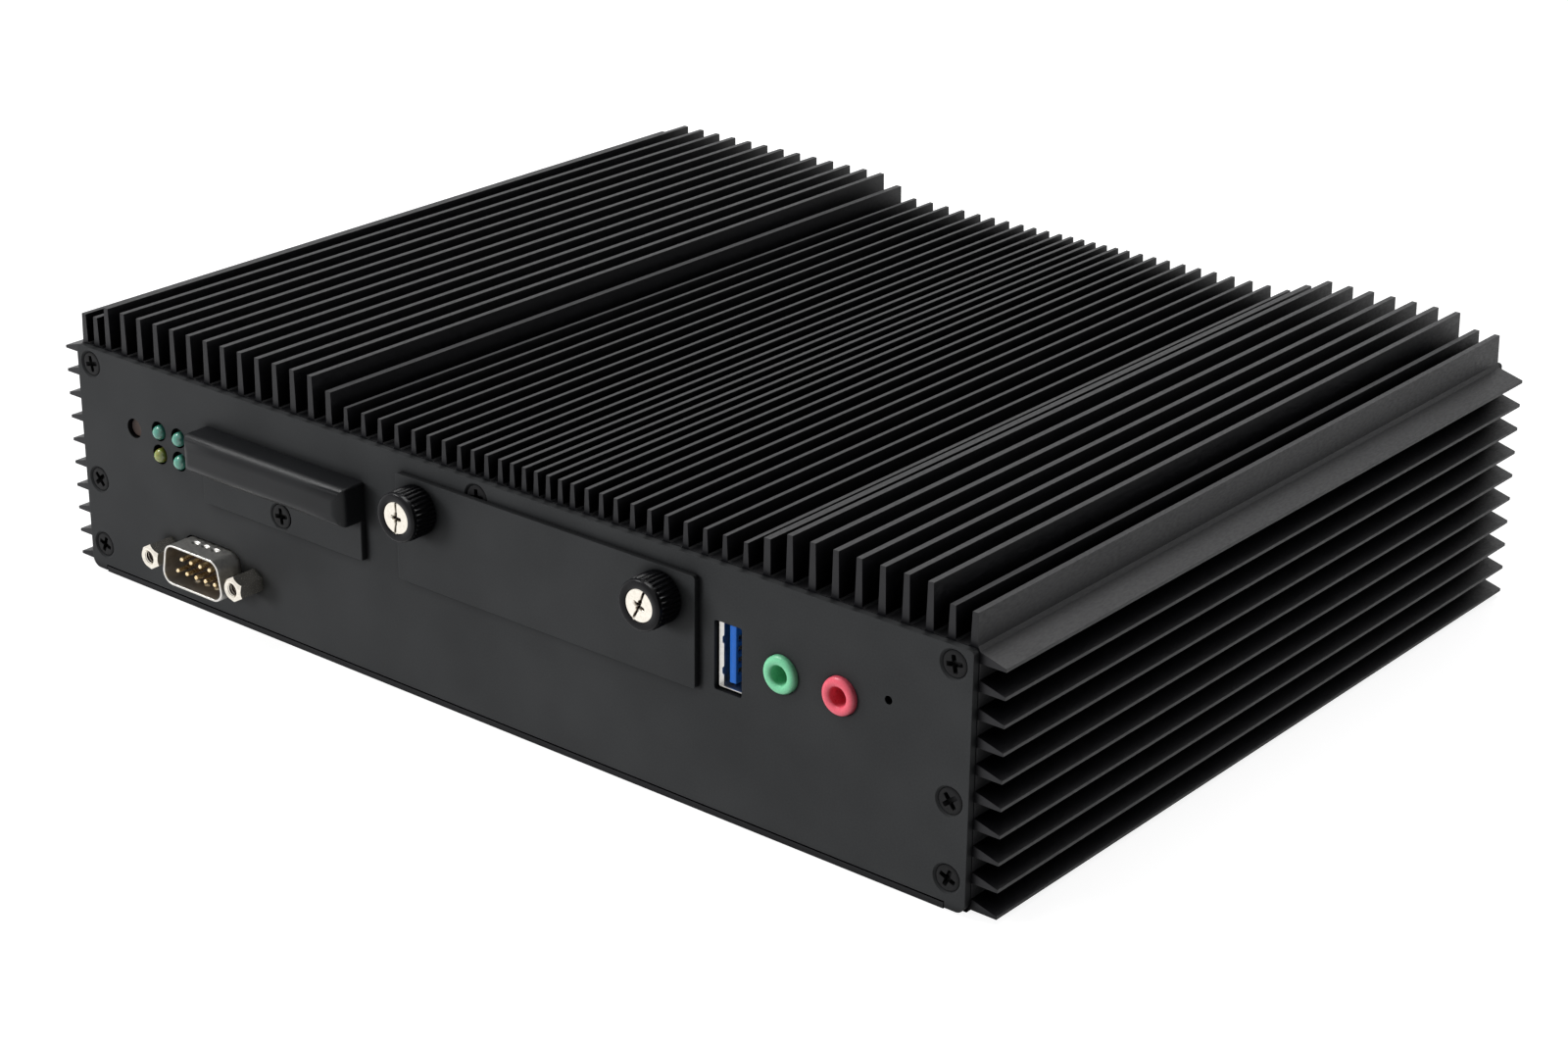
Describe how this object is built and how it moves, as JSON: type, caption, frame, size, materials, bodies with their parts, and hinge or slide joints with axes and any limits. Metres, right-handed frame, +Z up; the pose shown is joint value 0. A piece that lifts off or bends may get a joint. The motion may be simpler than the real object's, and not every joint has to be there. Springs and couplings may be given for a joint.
{
  "type": "fanless mini pc",
  "caption": "Fanless mini computer: black finned extrusion, flat front panel with ports and lights, and a pull-out drive tray held by knurled thumbscrews.",
  "frame": {"origin": "centre of the base tray's underside", "axes": "+X to the right along the front, +Y into the depth, +Z up"},
  "size_m": [0.2386, 0.193, 0.0587],
  "materials": {
    "black_anodised": "satin black anodised extrusion and sheet",
    "black_coated_sheet": "satin black powder coat",
    "black_screws": "black oxide steel",
    "black_plastic": "moulded black plastic",
    "button_plastic": "dark brown moulded plastic",
    "tin_plate": "bright tin plated steel",
    "nickel_plate": "nickel plated steel",
    "gold_plate": "gold plated contact",
    "green_lens": "tinted clear epoxy",
    "yellow_lens": "tinted clear epoxy",
    "blue_plastic": "moulded blue plastic",
    "green_plastic": "moulded green plastic",
    "pink_plastic": "moulded pink plastic",
    "circuit_board": "green solder mask",
    "zinc_plate": "zinc plated sheet steel",
    "bare_aluminium": "machined",
    "heat_pad": "grey silicone",
    "knob_aluminium": "black anodised, straight knurl",
    "spring_steel": "spring steel"
  },
  "bodies": {
    "case": {"top_cover": "black_anodised", "base_tray": "black_anodised", "front_panel": "black_coated_sheet", "rear_panel": "black_coated_sheet", "front_panel_screws": "black_screws", "rear_panel_screws": "black_screws", "card_cover": "black_coated_sheet", "card_cover_screw": "black_screws", "card_socket": "black_plastic", "serial_shell": "tin_plate", "serial_insulator": "black_plastic", "serial_pins": "gold_plate", "serial_jackscrews": "nickel_plate", "green_lights": "green_lens", "yellow_light": "yellow_lens", "light_holder": "black_plastic", "power_switch": "black_plastic", "reset_switch": "black_plastic", "status_board": "circuit_board", "side_board": "circuit_board", "board_posts": "zinc_plate", "usb_shell": "tin_plate", "usb_tongue": "blue_plastic", "audio_jack_output": "green_plastic", "audio_jack_microphone": "pink_plastic", "audio_jack_bodies": "black_plastic", "drive_cage": "zinc_plate", "drive_connector": "black_plastic", "pressed_nuts": "zinc_plate", "main_board": "circuit_board", "board_standoffs": "zinc_plate", "board_screws": "nickel_plate", "processor": "circuit_board", "heat_block": "bare_aluminium", "thermal_pads": "heat_pad", "memory_socket": "black_plastic", "memory_module": "circuit_board", "cell_holder": "black_plastic", "coin_cell": "zinc_plate", "lan_ports": "tin_plate", "usb_stack": "tin_plate", "video_port": "tin_plate", "rear_port_tongues": "blue_plastic", "power_inlet": "black_plastic", "power_inlet_pin": "nickel_plate", "power_inlet_nut": "black_screws"},
    "power_button": {"power_button": "button_plastic"},
    "reset_plunger": {"reset_plunger": "button_plastic"},
    "drive_tray": {"drive_door": "black_coated_sheet", "drive_sled": "zinc_plate", "storage_drive": "zinc_plate", "drive_screws": "nickel_plate", "thumbscrew_spring_left": "spring_steel", "thumbscrew_spring_right": "spring_steel"},
    "left_screw_washer": {"thumbscrew_washer_left": "spring_steel"},
    "left_thumbscrew": {"thumbscrew_knob_left": "knob_aluminium", "thumbscrew_insert_left": "nickel_plate"},
    "right_screw_washer": {"thumbscrew_washer_right": "spring_steel"},
    "right_thumbscrew": {"thumbscrew_knob_right": "knob_aluminium", "thumbscrew_insert_right": "nickel_plate"}
  },
  "joints": [
    {"name": "power_button_press", "type": "slide", "parent": "case", "child": "power_button", "axis": [0, 1, 0], "range_m": [0, 0.0005], "stiffness_N_per_m": 400, "springref_m": -0.0005},
    {"name": "reset_press", "type": "slide", "parent": "case", "child": "reset_plunger", "axis": [0, 1, 0], "range_m": [0, 0.0003], "stiffness_N_per_m": 400, "springref_m": -0.0005},
    {"name": "drive_tray_slide", "type": "slide", "parent": "case", "child": "drive_tray", "axis": [0, -1, 0], "range_m": [0, 0.115]},
    {"name": "left_screw_travel", "type": "slide", "parent": "drive_tray", "child": "left_screw_washer", "axis": [0, -1, 0], "range_m": [0, 0.005], "deforming": ["thumbscrew_spring_left"]},
    {"name": "left_screw_turn", "type": "hinge", "parent": "left_screw_washer", "child": "left_thumbscrew", "pos_m": [-0.0142, -0.0912, 0.0404], "axis": [0, -1, 0], "range_deg": [0, 3600]},
    {"name": "right_screw_travel", "type": "slide", "parent": "drive_tray", "child": "right_screw_washer", "axis": [0, -1, 0], "range_m": [0, 0.005], "deforming": ["thumbscrew_spring_right"]},
    {"name": "right_screw_turn", "type": "hinge", "parent": "right_screw_washer", "child": "right_thumbscrew", "pos_m": [0.0464, -0.0912, 0.0404], "axis": [0, -1, 0], "range_deg": [0, 3600]}
  ],
  "couplings": [
    {"joint": "left_screw_turn", "follows": "left_screw_travel", "rad_per_m": 12566},
    {"joint": "right_screw_turn", "follows": "right_screw_travel", "rad_per_m": 12566}
  ]
}
